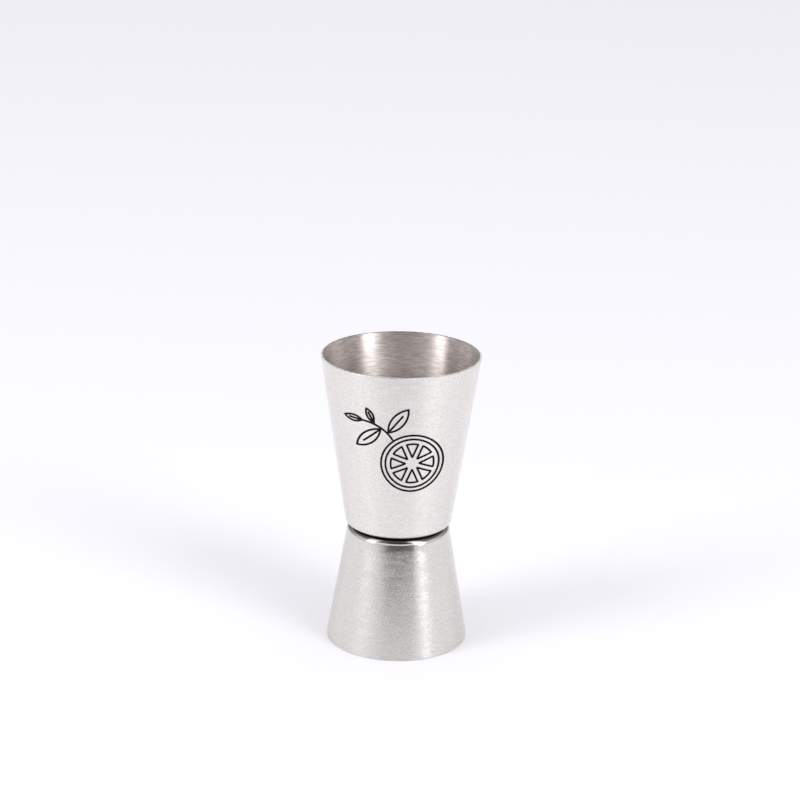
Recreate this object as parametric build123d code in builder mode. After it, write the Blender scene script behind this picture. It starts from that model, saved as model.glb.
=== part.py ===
from build123d import *

import os
from math import hypot

# A double-ended bar jigger: two cups deep drawn from stainless sheet, set base to base
# and spot welded through their floors. The large measure stands mouth up on the small
# one, whose mouth is the foot. A one-colour line drawing is printed on the large cup.
# Millimetres, +Z up, origin at the centre of the foot, the print facing -Y.

# ---- driving dimensions: the two cups ----
total_height = 84.0
joint_height = 34.5  # the plane where the two bases meet
sheet = 0.6

rim_diameter = 44.7  # outside, at the large cup's mouth
large_base_diameter = 29.8  # outside, where its straight wall would reach the joint plane
large_corner_radius = 1.5  # outside, from base to wall

foot_diameter = 40.2  # outside, at the small cup's mouth
small_base_diameter = 28.5  # outside, where its straight wall would reach the joint plane
small_corner_radius = 2.5  # outside, the polished shoulder

edge_rounding = 0.15  # on both sides of each trimmed mouth
tightest_bend = 0.3  # smallest inside radius that the sheet is drawn to

# ---- driving dimensions: the spot welds ----
weld_count = 3
weld_circle_diameter = 13.0
nugget_diameter = 3.0  # at the joint plane
nugget_taper = 40.0  # degrees that the nugget's side leans in
nugget_cover = 0.3  # sheet left between a nugget and the floor above or below it
dent_diameter = 4.0  # left by the electrodes on each floor
dent_depth = 0.08

# ---- driving dimensions: the print, a citrus wheel with a leafy stem ----
ink_thickness = 0.05
ink_line = 0.55
print_across = -1.4  # the drawing's centre, across the front of the cup
print_height = 62.3  # and above the foot

wheel_diameter = 17.6
wheel_centre = (4.9, -3.9)  # from the drawing's centre
pith_gap = 1.2  # from the peel's outside to the pith's
segment_count = 8
segment_radius = 6.6  # the back of each segment, from the wheel's centre
segment_gap = 0.85  # between neighbouring segments
segment_corner = 0.35

stem_start = (-0.5, 3.1)  # on the peel
stem_end = (-8.6, 8.2)
stem_bow = -1.2

# each leaf: where it leaves the stem, its direction in degrees, its length
leaves = [
    ((-2.0, 5.1), 52.0, 9.6),
    ((-3.6, 6.5), 222.0, 9.4),
    ((-5.6, 7.7), 118.0, 5.2),
    ((-8.6, 8.2), 176.0, 5.5),
]
leaf_slenderness = 0.42  # width over length
vein_share = 0.72  # of the leaf's length that its vein covers
film_margin = 1.0  # that the conical film reaches past the drawing before it is cut


def wall_slope(base_diameter, mouth_diameter, depth):
    """How far a cup's wall leans out for each millimetre away from its base."""
    return (mouth_diameter - base_diameter) / 2 / depth


def cup_section(base_diameter, mouth_diameter, mouth_height, corner_radius):
    """Half section of a tapered cup whose base lies on the joint plane."""
    depth = abs(mouth_height - joint_height)
    floor = sheet if mouth_height > joint_height else -sheet
    slope = wall_slope(base_diameter, mouth_diameter, depth)
    wall = sheet * hypot(1, slope)  # the sheet measured level
    inside_corner = base_diameter / 2 + slope * sheet - wall
    inside_bend = max(corner_radius - sheet, tightest_bend)
    with BuildSketch(Plane.XZ) as section:
        with BuildLine():
            outline = FilletPolyline(
                (0, joint_height),
                (base_diameter / 2, joint_height),
                (mouth_diameter / 2, mouth_height),
                (mouth_diameter / 2 - wall, mouth_height),
                (inside_corner, joint_height + floor),
                (0, joint_height + floor),
                radius=[corner_radius, edge_rounding, edge_rounding, inside_bend],
            )
            Line(outline @ 1, outline @ 0)
        make_face()
    return section.sketch


def weld_spots(height, diameter):
    """One circle for each spot weld, on a level plane."""
    with BuildSketch(Plane.XY.offset(height)) as spots:
        with PolarLocations(weld_circle_diameter / 2, weld_count):
            Circle(diameter / 2)
    return spots.sketch


def segment_drawing():
    """The rim of one citrus segment, pointing along +X from the wheel's centre."""
    half_angle = 180 / segment_count
    with BuildSketch() as segment:
        with BuildLine():
            side = PolarLine((0, 0), segment_radius, -half_angle)
            back = CenterArc((0, 0), segment_radius, -half_angle, 2 * half_angle)
            Line(back @ 1, side @ 0)
        make_face()
        offset(amount=-segment_gap / 2, kind=Kind.INTERSECTION, mode=Mode.REPLACE)
        fillet(segment.vertices(), segment_corner)
        offset(amount=-ink_line, mode=Mode.SUBTRACT)
    return segment.sketch


def leaf_drawing(length):
    """A pointed leaf from the origin along +X: its rim and one vein."""
    sagitta = length * leaf_slenderness / 2
    vein = length * vein_share
    with BuildSketch() as leaf:
        with BuildLine():
            SagittaArc((0, 0), (length, 0), sagitta)
            SagittaArc((length, 0), (0, 0), sagitta)
        make_face()
        offset(amount=-ink_line, mode=Mode.SUBTRACT)
        with Locations((vein / 2, 0)):
            Rectangle(vein, ink_line)
    return leaf.sketch


nugget_depth = sheet - nugget_cover - dent_depth
film_slope = wall_slope(large_base_diameter, rim_diameter, total_height - joint_height)


def wall_radius(height):
    """Outside radius of the large cup's wall."""
    return large_base_diameter / 2 + film_slope * (height - joint_height)


# ---- small cup: the lower measure, mouth down ----
with BuildPart() as small_cup:
    revolve(
        cup_section(small_base_diameter, foot_diameter, 0, small_corner_radius),
        axis=Axis.Z,
    )
    extrude(
        weld_spots(joint_height, nugget_diameter),
        amount=-nugget_depth,
        taper=nugget_taper,
        mode=Mode.SUBTRACT,
    )
    extrude(
        weld_spots(joint_height - sheet, dent_diameter),
        amount=dent_depth,
        mode=Mode.SUBTRACT,
    )

# ---- large cup: the upper measure, mouth up ----
with BuildPart() as large_cup:
    revolve(
        cup_section(large_base_diameter, rim_diameter, total_height, large_corner_radius),
        axis=Axis.Z,
    )
    extrude(
        weld_spots(joint_height, nugget_diameter),
        amount=nugget_depth,
        taper=nugget_taper,
        mode=Mode.SUBTRACT,
    )
    extrude(
        weld_spots(joint_height + sheet, dent_diameter),
        amount=-dent_depth,
        mode=Mode.SUBTRACT,
    )

# ---- weld nuggets: the metal melted between the two bases ----
with BuildPart() as weld_nuggets:
    extrude(
        weld_spots(joint_height, nugget_diameter),
        amount=nugget_depth,
        both=True,
        taper=nugget_taper,
    )

# ---- the drawing, flat, about its own centre ----
with BuildSketch() as drawing:
    with Locations(wheel_centre):
        Circle(wheel_diameter / 2)
        Circle(wheel_diameter / 2 - ink_line, mode=Mode.SUBTRACT)
        Circle(wheel_diameter / 2 - pith_gap)
        Circle(wheel_diameter / 2 - pith_gap - ink_line, mode=Mode.SUBTRACT)
        with PolarLocations(0, segment_count):
            add(segment_drawing())
    with BuildLine() as stem:
        SagittaArc(stem_start, stem_end, stem_bow)
    trace(stem.line, line_width=ink_line)
    for foot, direction, length in leaves:
        with Locations(Location(foot, direction)):
            add(leaf_drawing(length))

# ---- front print: the drawing cut out of a film that lies on the large cup's wall ----
film_bottom = print_height + drawing.sketch.bounding_box().min.Y - film_margin
film_top = print_height + drawing.sketch.bounding_box().max.Y + film_margin
film_run = ink_thickness * hypot(1, film_slope)  # the film measured level

with BuildPart() as front_print:
    with BuildSketch(Plane.XZ):
        with BuildLine():
            Polyline(
                (wall_radius(film_bottom), film_bottom),
                (wall_radius(film_bottom) + film_run, film_bottom),
                (wall_radius(film_top) + film_run, film_top),
                (wall_radius(film_top), film_top),
                close=True,
            )
        make_face()
    revolve(axis=Axis.Z)
    with BuildSketch(Plane.XZ.offset(rim_diameter / 2)):
        with Locations((print_across, print_height)):
            add(drawing.sketch)
    extrude(amount=-rim_diameter / 2, mode=Mode.INTERSECT)

small_cup.part.label = "small_cup"
large_cup.part.label = "large_cup"
weld_nuggets.part.label = "weld_nuggets"
front_print.part.label = "front_print"

os.makedirs("parts", exist_ok=True)
export_step(small_cup.part, "parts/small_cup.step")
export_step(large_cup.part, "parts/large_cup.step")
export_step(weld_nuggets.part, "parts/weld_nuggets.step")
export_step(front_print.part, "parts/front_print.step")
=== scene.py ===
from math import cos, pi, radians, sin, sqrt

import bpy
from mathutils import Matrix, Vector


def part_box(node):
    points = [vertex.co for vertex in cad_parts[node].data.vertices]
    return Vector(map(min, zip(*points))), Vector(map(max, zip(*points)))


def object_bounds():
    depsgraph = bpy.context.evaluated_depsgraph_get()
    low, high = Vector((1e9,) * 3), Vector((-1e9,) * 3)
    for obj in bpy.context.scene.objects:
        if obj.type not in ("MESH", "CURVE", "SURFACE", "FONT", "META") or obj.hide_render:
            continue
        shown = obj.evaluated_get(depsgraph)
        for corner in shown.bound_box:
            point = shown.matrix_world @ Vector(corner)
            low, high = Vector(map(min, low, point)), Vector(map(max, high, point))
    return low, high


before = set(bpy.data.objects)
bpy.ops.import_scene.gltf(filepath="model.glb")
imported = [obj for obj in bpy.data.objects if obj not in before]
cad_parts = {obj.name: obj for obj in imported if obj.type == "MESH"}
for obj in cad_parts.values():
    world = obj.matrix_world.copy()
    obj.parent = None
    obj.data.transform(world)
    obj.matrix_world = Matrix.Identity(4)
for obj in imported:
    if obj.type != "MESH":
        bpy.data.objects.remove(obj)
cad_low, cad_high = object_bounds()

# Bar jigger: two satin steel cups, base to base, with a printed drawing on the large one.
# Metres, +Z up, the print facing -Y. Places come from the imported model's own boxes.
# Colours are linear. An azimuth of 0 is the camera's side, and positive ones are to its right.

MM = 0.001
HEIGHT = cad_high.z - cad_low.z
MIDDLE = (cad_low + cad_high) / 2
SMALL_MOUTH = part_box("small_cup")[0].z
LARGE_LOW, LARGE_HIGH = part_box("large_cup")
LARGE_MOUTH = LARGE_HIGH.z
JOINT = LARGE_LOW.z  # height of the plane where the two bases meet
WELD_LOW, WELD_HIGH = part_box("weld_nuggets")
WELD_COUNT = 3


# ---- camera: heights and distances as shares of the jigger's height, lens and sensor in millimetres ----
CAMERA_BACK = 7.059
CAMERA_UP = 3.190
AIM_UP = 0.840
AIM_SIDE = -0.0017
ROLL = radians(-1.04)
SENSOR = 36.0
LENS = 100.8
NEAR_CLIP = 10 * MM


def add_camera():
    data = bpy.data.cameras.new("camera")
    data.sensor_width = SENSOR
    data.lens = LENS
    data.clip_start = NEAR_CLIP
    camera = bpy.data.objects.new("camera", data)
    bpy.context.scene.collection.objects.link(camera)
    camera.location = MIDDLE.xy.to_3d() + Vector((0, -CAMERA_BACK, CAMERA_UP)) * HEIGHT
    aim = MIDDLE.xy.to_3d() + Vector((AIM_SIDE, 0, AIM_UP)) * HEIGHT
    turn = (aim - camera.location).to_track_quat("-Z", "Y").to_matrix()
    camera.rotation_euler = (turn @ Matrix.Rotation(-ROLL, 3, "Z")).to_euler()
    bpy.context.scene.camera = camera


# ---- node helpers ----
MIX_SHARE, MIX_FIRST, MIX_SECOND = 0, 6, 7  # a Mix node's inputs when it mixes colours
MIX_RESULT = 2  # and its output


class Tree:
    """Short calls for making and linking shader nodes."""

    def __init__(self, tree):
        self.nodes = tree.nodes
        self.links = tree.links
        self.nodes.clear()

    def add(self, kind, settings=None, **sockets):
        node = self.nodes.new(kind)
        for name, value in (settings or {}).items():
            setattr(node, name, value)
        for name, value in sockets.items():
            self.put(node.inputs[name.replace("_", " ")], value)
        return node

    def put(self, socket, value):
        if isinstance(value, bpy.types.NodeSocket):
            self.links.new(value, socket)
        else:
            socket.default_value = value

    def math(self, operation, *values):
        node = self.nodes.new("ShaderNodeMath")
        node.operation = operation
        for socket, value in zip(node.inputs, values):
            self.put(socket, value)
        return node.outputs[0]

    def length(self, first, second):
        """The length of the flat vector with these two parts."""
        squares = self.math("ADD", self.math("POWER", first, 2.0), self.math("POWER", second, 2.0))
        return self.math("SQRT", squares)

    def span(self, value, low, high, to_low=0.0, to_high=1.0, smooth=True):
        """Maps value from low..high to to_low..to_high, held at the ends."""
        node = self.nodes.new("ShaderNodeMapRange")
        node.interpolation_type = "SMOOTHSTEP" if smooth else "LINEAR"
        for name, given in (
            ("Value", value),
            ("From Min", low),
            ("From Max", high),
            ("To Min", to_low),
            ("To Max", to_high),
        ):
            self.put(node.inputs[name], given)
        return node.outputs["Result"]

    def mix(self, share, first, second, blend="MIX"):
        node = self.nodes.new("ShaderNodeMix")
        node.data_type = "RGBA"
        node.blend_type = blend
        self.put(node.inputs[MIX_SHARE], share)
        self.put(node.inputs[MIX_FIRST], first)
        self.put(node.inputs[MIX_SECOND], second)
        return node.outputs[MIX_RESULT]

    def noise(self, place, per_mm, detail):
        """Noise with about per_mm lumps to a millimetre."""
        node = self.add("ShaderNodeTexNoise", Vector=place, Scale=per_mm / MM, Detail=detail)
        return node.outputs["Fac"]

    def bump(self, height):
        """The normal of a surface with this relief, in metres."""
        return self.add("ShaderNodeBump", Height=height, Distance=1.0).outputs[0]

    def finish(self, shader):
        self.add("ShaderNodeOutputMaterial", Surface=shader.outputs[0])


def new_material(name):
    material = bpy.data.materials.new(name)
    material.use_nodes = True
    return material, Tree(material.node_tree)


def shade(colour, share):
    return tuple(share * part for part in colour[:3]) + (1.0,)


# ---- what all the steel shares ----
STEEL = (0.83, 0.802, 0.765, 1.0)
WIDE_NOISE = (0.3, 0.7)  # nearly all of a noise's values
MAIN_NOISE = (0.35, 0.65)  # most of them
AXIS_GAP = 0.05 * MM  # least distance from the axis, so that nothing is divided by zero
ACROSS_THE_MARKS = 0.25  # turns a highlight's long side from round the axis to across the lathe marks


def turned_coordinates(tree):
    """Object position, its separate parts, and its distance from the axis."""
    place = tree.add("ShaderNodeTexCoord").outputs["Object"]
    split = tree.add("ShaderNodeSeparateXYZ", Vector=place).outputs
    radius = tree.math("MAXIMUM", tree.length(split["X"], split["Y"]), AXIS_GAP)
    return place, split, radius


def brush(tree, split, radius, turns, lines, detail, seed):
    """Noise drawn out round the axis. More turns make shorter marks; lines is how many a millimetre has."""
    across = tree.math("MULTIPLY", tree.math("ADD", split["Z"], radius), lines / MM)
    around_x = tree.math("MULTIPLY", tree.math("DIVIDE", split["X"], radius), turns)
    around_y = tree.math("MULTIPLY", tree.math("DIVIDE", split["Y"], radius), turns)
    vector = tree.add("ShaderNodeCombineXYZ", X=around_x, Y=around_y, Z=across).outputs[0]
    settings = {"noise_dimensions": "4D"}
    noise = tree.add("ShaderNodeTexNoise", settings, Vector=vector, W=seed, Scale=1.0, Detail=detail)
    return noise.outputs["Fac"]


def metal(tree, colour, roughness, anisotropy, relief):
    """A brushed metal whose highlights are drawn out across the lathe marks."""
    normal = tree.bump(relief)
    tangent = tree.add("ShaderNodeTangent", {"direction_type": "RADIAL", "axis": "Z"}).outputs[0]
    surface = tree.add(
        "ShaderNodeBsdfPrincipled",
        Base_Color=colour,
        Metallic=1.0,
        Roughness=roughness,
        Anisotropic=anisotropy,
        Anisotropic_Rotation=ACROSS_THE_MARKS,
        Tangent=tangent,
        Normal=normal,
    )
    tree.finish(surface)


# ---- the cups' outsides ----
NOWHERE = (1.0, 2.0)  # heights in metres, far above the jigger
LINE_DEPTH = 0.0010 * MM
LINE_SHADE = 0.95
GRAIN_PER_MM = 3.0
SPECKLE = (0.86, 0.86, 0.86, 1.0)  # what the grain's lowest parts multiply the colour by
SPECKLE_RANGE = (0.32, 0.60)
UNEVEN_ROUGHNESS = 0.03  # how far the broad marks, and the grain again, move the roughness each way
SPOTS_PER_MM = 1.1
SPOT_RANGE = (0.70, 0.76)  # so high in the noise that few spots show
SPOT_STRENGTH = 0.45
SPOT_SHADE = 0.4
POLISH_WANDER = 4.0 * MM  # how much the broad marks move the polish's edge up and down
POLISH_ROUGHNESS = 0.15
POLISH_RELIEF = 0.3  # share of the relief that the polish leaves
CREVICE_SHADE = (0.075, 0.068, 0.064, 1.0)  # painted shade: the dark colour in the crevice between the cups


def satin_outside(name, roughness, anisotropy, brightness, grain_depth, polish=NOWHERE, crevice=NOWHERE):
    """Satin steel. polish and crevice are heights in metres: no effect at the first, full at the second.
    Towards crevice the colour is painted dark, as painted shade between the cups.
    """
    material, tree = new_material(name)
    place, split, radius = turned_coordinates(tree)
    fine = brush(tree, split, radius, turns=9.0, lines=2.6, detail=3.0, seed=0.0)
    broad = brush(tree, split, radius, turns=3.0, lines=0.8, detail=2.0, seed=4.0)
    grain = tree.noise(place, GRAIN_PER_MM, detail=1.0)
    wander = tree.math("MULTIPLY", tree.math("SUBTRACT", broad, 0.5), POLISH_WANDER)
    polished = tree.span(tree.math("ADD", split["Z"], wander), *polish)
    # share of the colour left free of painted shade, falling to none at the crevice
    unshaded = tree.math("POWER", tree.span(split["Z"], crevice[1], crevice[0], smooth=False), 2.0)

    lines = tree.math("MULTIPLY", fine, LINE_DEPTH)
    relief = tree.math("ADD", lines, tree.math("MULTIPLY", grain, grain_depth))
    relief = tree.math("MULTIPLY", relief, tree.span(polished, 0.0, 1.0, 1.0, POLISH_RELIEF))

    marked = tree.span(broad, *WIDE_NOISE, roughness - UNEVEN_ROUGHNESS, roughness + UNEVEN_ROUGHNESS)
    grained = tree.span(grain, *WIDE_NOISE, -UNEVEN_ROUGHNESS, UNEVEN_ROUGHNESS)
    rough = tree.span(polished, 0.0, 1.0, tree.math("ADD", marked, grained), POLISH_ROUGHNESS)

    dull = shade(STEEL, LINE_SHADE * brightness)
    colour = tree.mix(tree.span(fine, *MAIN_NOISE), dull, shade(STEEL, brightness))
    speckle = tree.mix(tree.span(grain, *SPECKLE_RANGE), SPECKLE, (1.0, 1.0, 1.0, 1.0))
    colour = tree.mix(1.0, colour, speckle, "MULTIPLY")
    spots = tree.noise(place, SPOTS_PER_MM, detail=2.0)
    colour = tree.mix(tree.span(spots, *SPOT_RANGE, 0.0, SPOT_STRENGTH), colour, shade(STEEL, SPOT_SHADE))
    # painted shade: the colour turns nearly black towards the crevice between the cups
    colour = tree.mix(unshaded, CREVICE_SHADE, colour)
    metal(tree, colour, rough, anisotropy, relief)
    return material


# ---- the cups' insides ----
INSIDE_STEEL = (0.72, 0.666, 0.645, 1.0)  # darker and warmer than the outside's steel: painted shade and painted bounce light inside the cup
INSIDE_DEPTH = 0.0045 * MM  # of the fine lines, and of the grain again
INSIDE_GRAIN_PER_MM = 2.2
INSIDE_ROUGHNESS = (0.29, 0.36)
INSIDE_ANISOTROPY = 0.93
INSIDE_SHADES = (0.73, 1.13)
INSIDE_BROAD_SHADE = 0.8
INSIDE_BROAD_STRENGTH = 0.4
HEAT_TINT = (0.55, 0.38, 0.20, 1.0)  # straw, as steel turns round a weld
TINT_STRENGTH = 0.4
TINT_GAP = 0.9 * MM  # from a nugget's edge to the middle of its ring of tint
TINT_WIDTH = (1.0 * MM, 0.1 * MM)  # from the middle of the ring: no tint at the first, full at the second
TINT_HEIGHT = (1.5 * MM, 1.0 * MM)  # the same, above and below the joint


def weld_tint(tree, split, radius):
    """Share of heat tint on a floor: a ring round each spot weld, worked out from the nuggets' box."""
    size = WELD_HIGH - WELD_LOW
    circle = (size.y - size.x) / (sqrt(3) - 1.5)  # the nuggets are on this radius, the first on +X
    nugget = (size.x - 1.5 * circle) / 2
    third = 2 * pi / WELD_COUNT
    angle = tree.math("ADD", tree.math("ARCTAN2", split["Y"], split["X"]), third / 2)
    folded = tree.math("SUBTRACT", tree.math("FLOORED_MODULO", angle, third), third / 2)
    along = tree.math("SUBTRACT", tree.math("MULTIPLY", radius, tree.math("COSINE", folded)), circle)
    across = tree.math("MULTIPLY", radius, tree.math("SINE", folded))
    from_ring = tree.math("SUBTRACT", tree.length(along, across), nugget + TINT_GAP)
    ring = tree.span(tree.math("ABSOLUTE", from_ring), *TINT_WIDTH, 0.0, TINT_STRENGTH)
    from_joint = tree.math("ABSOLUTE", tree.math("SUBTRACT", split["Z"], JOINT))
    return tree.math("MULTIPLY", ring, tree.span(from_joint, *TINT_HEIGHT))


def turned_inside(name):
    """The inside of a cup: bright turned steel with fine lines round it, tinted at the welds."""
    material, tree = new_material(name)
    place, split, radius = turned_coordinates(tree)
    fine = brush(tree, split, radius, turns=7.0, lines=2.6, detail=3.0, seed=8.0)
    broad = brush(tree, split, radius, turns=2.0, lines=0.7, detail=2.0, seed=12.0)
    grain = tree.noise(place, INSIDE_GRAIN_PER_MM, detail=1.0)
    lines = tree.math("MULTIPLY", fine, INSIDE_DEPTH)
    relief = tree.math("ADD", lines, tree.math("MULTIPLY", grain, INSIDE_DEPTH))
    rough = tree.span(broad, *WIDE_NOISE, *INSIDE_ROUGHNESS)
    dull, bright = (shade(INSIDE_STEEL, share) for share in INSIDE_SHADES)
    colour = tree.mix(tree.span(fine, *MAIN_NOISE), dull, bright)
    patches = tree.span(broad, *WIDE_NOISE, 0.0, INSIDE_BROAD_STRENGTH)
    colour = tree.mix(patches, colour, shade(INSIDE_STEEL, INSIDE_BROAD_SHADE))
    colour = tree.mix(weld_tint(tree, split, radius), colour, HEAT_TINT)
    metal(tree, colour, rough, INSIDE_ANISOTROPY, relief)
    return material


# ---- the trimmed mouths ----
NICKS_PER_MM = 1.2
NICK_RANGE = (0.38, 0.52)
NICK_DEPTH = 0.005 * MM
EDGE_ROUGHNESS = 0.36


def cut_edge(name, darkest, lightest):
    """A trimmed mouth, with the small nicks of the trimming. darkest and lightest are shares of the steel's
    colour; for the mouth's inner corner they are low, as painted shade.
    """
    material, tree = new_material(name)
    place = tree.add("ShaderNodeTexCoord").outputs["Object"]
    nicks = tree.noise(place, NICKS_PER_MM, detail=3.0)
    colour = tree.mix(tree.span(nicks, *NICK_RANGE), shade(STEEL, darkest), shade(STEEL, lightest))
    metal(tree, colour, EDGE_ROUGHNESS, 0.0, tree.math("MULTIPLY", nicks, NICK_DEPTH))
    return material


# ---- the print ----
INK_DARK = (0.002, 0.002, 0.0025, 1.0)
INK_PALE = (0.008, 0.008, 0.009, 1.0)
INK_GRAIN_PER_MM = 3.0
INK_RANGE = (0.35, 0.7)
INK_DEPTH = 0.002 * MM
INK_ROUGHNESS = 0.55
INK_SHINE = 0.1


def ink():
    """Matt black ink with a fine grain."""
    material, tree = new_material("ink")
    place = tree.add("ShaderNodeTexCoord").outputs["Object"]
    grain = tree.noise(place, INK_GRAIN_PER_MM, detail=2.0)
    surface = tree.add(
        "ShaderNodeBsdfPrincipled",
        Base_Color=tree.mix(tree.span(grain, *INK_RANGE), INK_DARK, INK_PALE),
        Roughness=INK_ROUGHNESS,
        Specular_IOR_Level=INK_SHINE,
        Normal=tree.bump(tree.math("MULTIPLY", grain, INK_DEPTH)),
    )
    tree.finish(surface)
    return material


# ---- painting the nodes ----
OUTSIDE, INSIDE, MOUTH, MOUTH_CORNER = range(4)  # a cup's material slots
EDGE_DEPTH = 0.2 * MM  # how far the trimmed edge's rounding reaches from each mouth
FACES_OUT = 0.02  # a normal with more than this of it pointing away from the axis is outside
FACES_IN = -0.05  # and with less than this is in the mouth's inner corner, if it is at the mouth


def cup_slot(face, mouth):
    outward = face.center.xy.normalized().dot(face.normal.xy)
    if abs(face.center.z - mouth) < EDGE_DEPTH:
        return MOUTH_CORNER if outward < FACES_IN else MOUTH
    return OUTSIDE if outward > FACES_OUT else INSIDE


def paint(node, *materials):
    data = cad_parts[node].data
    data.materials.clear()
    for material in materials:
        data.materials.append(material)
    return data


def paint_cup(node, mouth, *materials):
    """Gives a cup its materials, in the order of the slots above."""
    for face in paint(node, *materials).polygons:
        face.material_index = cup_slot(face, mouth)


def paint_jigger():
    edge = cut_edge("cut_edge", darkest=0.62, lightest=0.88)
    # painted shade: the mouth's inner corner is made nearly black
    corner = cut_edge("cut_edge_inner_shade", darkest=0.08, lightest=0.30)
    inside = turned_inside("turned_inside")
    large_outside = satin_outside(
        "large_cup_satin",
        roughness=0.30,
        anisotropy=0.75,
        # painted light: the large cup's steel is made lighter than the small cup's
        brightness=1.04,
        grain_depth=0.009 * MM,
        crevice=(JOINT + 0.5 * MM, JOINT + 0.1 * MM),
    )
    small_outside = satin_outside(
        "small_cup_satin",
        roughness=0.245,
        anisotropy=0.60,
        # painted shade: the small cup's steel is made darker than the large cup's
        brightness=0.92,
        grain_depth=0.012 * MM,
        polish=(JOINT - 4.9 * MM, JOINT - 2.9 * MM),
        crevice=(JOINT - 1.75 * MM, JOINT - 0.6 * MM),
    )
    weld = satin_outside("weld_steel", roughness=0.5, anisotropy=0.3, brightness=0.9, grain_depth=0.007 * MM)
    paint_cup("large_cup", LARGE_MOUTH, large_outside, inside, edge, corner)
    paint_cup("small_cup", SMALL_MOUTH, small_outside, inside, edge, corner)
    paint("weld_nuggets", weld)
    paint("front_print", ink())


# ---- floor ----
FLOOR_HALF = 8.0
FRONT_EDGE = -0.25  # nearer than this the steel doesn't mirror the floor, as if the room were dark there
FLOOR_NEAR = (0.880, 0.875, 0.910, 1.0)
FLOOR_FAR = (0.940, 0.934, 0.972, 1.0)
FLOOR_FADE = (0.1, 1.6)  # distances behind the axis between which the near colour turns into the far one


def floor_material():
    material, tree = new_material("floor")
    place = tree.add("ShaderNodeTexCoord").outputs["Object"]
    depth = tree.add("ShaderNodeSeparateXYZ", Vector=place).outputs["Y"]
    colour = tree.mix(tree.span(depth, *FLOOR_FADE), FLOOR_NEAR, FLOOR_FAR)
    tree.finish(tree.add("ShaderNodeBsdfDiffuse", Color=colour))
    return material


def add_floor(name, near, far, material):
    """A strip of the pale floor, between two distances behind the jigger's axis."""
    mesh = bpy.data.meshes.new(name)
    level = cad_low.z
    corners = ((-FLOOR_HALF, near), (FLOOR_HALF, near), (FLOOR_HALF, far), (-FLOOR_HALF, far))
    mesh.from_pydata([(x, y, level) for x, y in corners], [], [(0, 1, 2, 3)])
    mesh.materials.append(material)
    floor = bpy.data.objects.new(name, mesh)
    bpy.context.scene.collection.objects.link(floor)
    return floor


def lay_floor():
    pale = floor_material()
    add_floor("floor", FRONT_EDGE, FLOOR_HALF, pale)
    add_floor("floor_front", -FLOOR_HALF, FRONT_EDGE, pale).visible_glossy = False


# ---- room: each pair of degrees is where a change starts and where it is complete ----
RIGHT_WALL = (30.0, 40.0)  # azimuths at which the dark side of the room gives way to the bright rest
LEFT_WALL = (-12.0, -50.0)
DARK_ROOM, BRIGHT_ROOM = 0.03, 0.75
STRIP_BOTTOM = (10.0, 14.0)  # elevations of a bright strip all round, which the shoulder mirrors
STRIP_TOP = (26.0, 19.0)
STRIP_STRENGTH = 1.7
CEILING = (40.0, 60.0)
CEILING_STRENGTH = 0.93
ROOM_COLOUR = (0.985, 0.98, 1.0, 1.0)
BACKDROP = (0.930, 0.922, 0.965, 1.0)  # what the camera sees past the floor's far edge
SOFTBOX_DISTANCE = 1.6


def add_softbox(name, azimuth, elevation, width, height, strength, lean=0.0):
    """An area light that faces the jigger, leaning over by some degrees."""
    data = bpy.data.lights.new(name, "AREA")
    data.shape = "RECTANGLE"
    data.size, data.size_y = width, height
    data.energy = strength * width * height * pi
    lamp = bpy.data.objects.new(name, data)
    bpy.context.scene.collection.objects.link(lamp)
    a, e = radians(azimuth), radians(elevation)
    lamp.location = MIDDLE + Vector((sin(a) * cos(e), -cos(a) * cos(e), sin(e))) * SOFTBOX_DISTANCE
    facing = (MIDDLE - lamp.location).to_track_quat("-Z", "Y").to_matrix()
    lamp.rotation_euler = (facing @ Matrix.Rotation(radians(lean), 3, "Z")).to_euler()
    lamp.visible_camera = False


def room_strength(tree):
    """How bright the room is in each direction."""
    direction = tree.add("ShaderNodeTexCoord").outputs["Generated"]
    split = tree.add("ShaderNodeSeparateXYZ", Vector=direction).outputs
    azimuth = tree.math("DEGREES", tree.math("ARCTAN2", split["X"], tree.math("MULTIPLY", split["Y"], -1.0)))
    elevation = tree.math("DEGREES", tree.math("ARCSINE", split["Z"]))
    aside = tree.math("MAXIMUM", tree.span(azimuth, *RIGHT_WALL), tree.span(azimuth, *LEFT_WALL))
    room = tree.span(aside, 0.0, 1.0, DARK_ROOM, BRIGHT_ROOM, smooth=False)
    strip = tree.math("MULTIPLY", tree.span(elevation, *STRIP_BOTTOM), tree.span(elevation, *STRIP_TOP))
    room = tree.math("MAXIMUM", room, tree.math("MULTIPLY", strip, STRIP_STRENGTH))
    return tree.span(tree.span(elevation, *CEILING), 0.0, 1.0, room, CEILING_STRENGTH, smooth=False)


def light_studio():
    world = bpy.data.worlds.new("studio")
    bpy.context.scene.world = world
    world.use_nodes = True
    tree = Tree(world.node_tree)
    seen = tree.add("ShaderNodeLightPath").outputs["Is Camera Ray"]
    light = tree.add("ShaderNodeBackground", Color=ROOM_COLOUR, Strength=room_strength(tree))
    backdrop = tree.add("ShaderNodeBackground", Color=BACKDROP, Strength=1.0)
    either = tree.nodes.new("ShaderNodeMixShader")
    for socket, value in zip(either.inputs, (seen, light.outputs[0], backdrop.outputs[0])):
        tree.put(socket, value)
    tree.add("ShaderNodeOutputWorld", Surface=either.outputs[0])
    add_softbox("softbox_right", azimuth=47, elevation=30, width=0.5, height=1.6, strength=4.3, lean=16)
    add_softbox("softbox_left", azimuth=-62, elevation=33, width=0.55, height=1.5, strength=3.2)


def set_colours():
    settings = bpy.context.scene.view_settings
    settings.view_transform = "Standard"
    settings.look = "None"
    settings.exposure = 0.0
    settings.gamma = 1.0


add_camera()
paint_jigger()
lay_floor()
light_studio()
set_colours()
